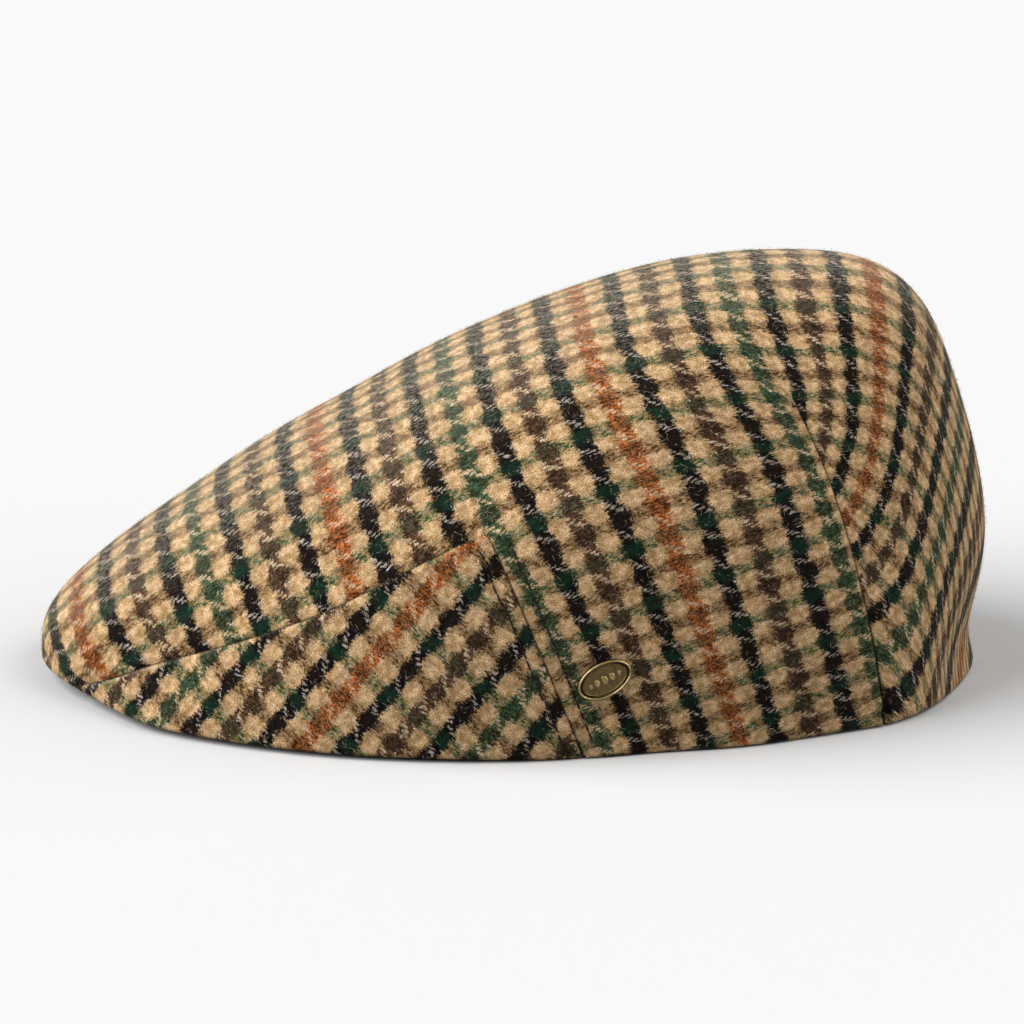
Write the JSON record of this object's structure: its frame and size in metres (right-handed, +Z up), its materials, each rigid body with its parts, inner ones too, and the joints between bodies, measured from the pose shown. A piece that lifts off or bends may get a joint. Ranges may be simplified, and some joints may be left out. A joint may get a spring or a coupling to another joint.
{
  "type": "flat cap",
  "caption": "Rounded duckbill flat cap of checked wool with bias-cut side panels, darted back, stiff peak sewn under the front and a plain oval badge; worn on the head.",
  "frame": {"origin": "middle of the cap's bounding box on the floor the rim lies on", "axes": "+Z up, -Y towards the peak, +X towards the wearer's left, where the badge is"},
  "size_m": [0.1772, 0.2727, 0.1196],
  "materials": {
    "checked_wool": "brushed wool twill in a gun club check, straight across the cap",
    "bias_wool": "the same wool twill, cut on the bias",
    "covered_board": "dark brown cloth over a stiff board",
    "antique_brass": "cast brass, darkened in the low places and polished on the rim"
  },
  "bodies": {
    "root": {"crown": "checked_wool", "side_panel_left": "bias_wool", "side_panel_right": "bias_wool", "peak": "covered_board", "badge": "antique_brass"}
  },
  "joints": []
}
